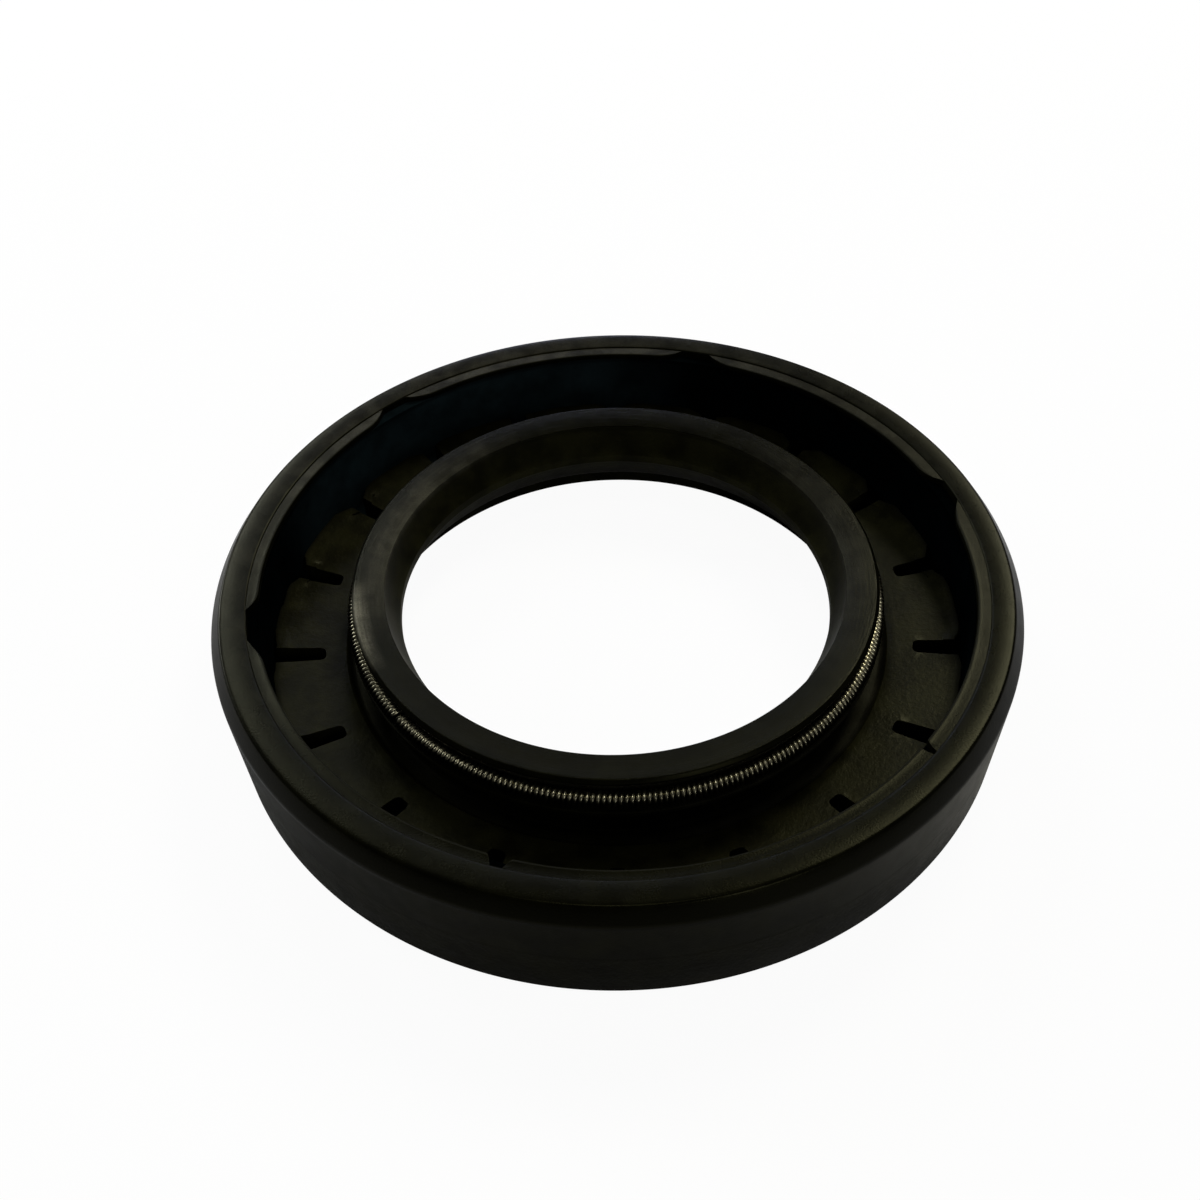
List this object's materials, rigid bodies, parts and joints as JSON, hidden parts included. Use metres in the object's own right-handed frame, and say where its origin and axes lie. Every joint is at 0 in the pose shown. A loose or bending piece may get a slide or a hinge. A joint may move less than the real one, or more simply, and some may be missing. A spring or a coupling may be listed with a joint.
{
  "type": "radial shaft seal",
  "caption": "Rubber-covered rotary shaft seal: a moulded ring with a spring-loaded lip that seals round a turning shaft and presses into a housing bore.",
  "frame": {"origin": "centre of the base face, which is the air side, on the seal's axis", "axes": "+Z along the seal's axis, from the air side to the spring side; +X and +Y across it"},
  "size_m": [0.062, 0.062, 0.01],
  "materials": {
    "elastomer": "matt",
    "bonded_steel": "dark gloss bonding coat",
    "spring_steel": "bright drawn wire"
  },
  "bodies": {
    "root": {"rubber_body": "elastomer", "metal_case": "bonded_steel", "garter_spring": "spring_steel"}
  },
  "joints": []
}
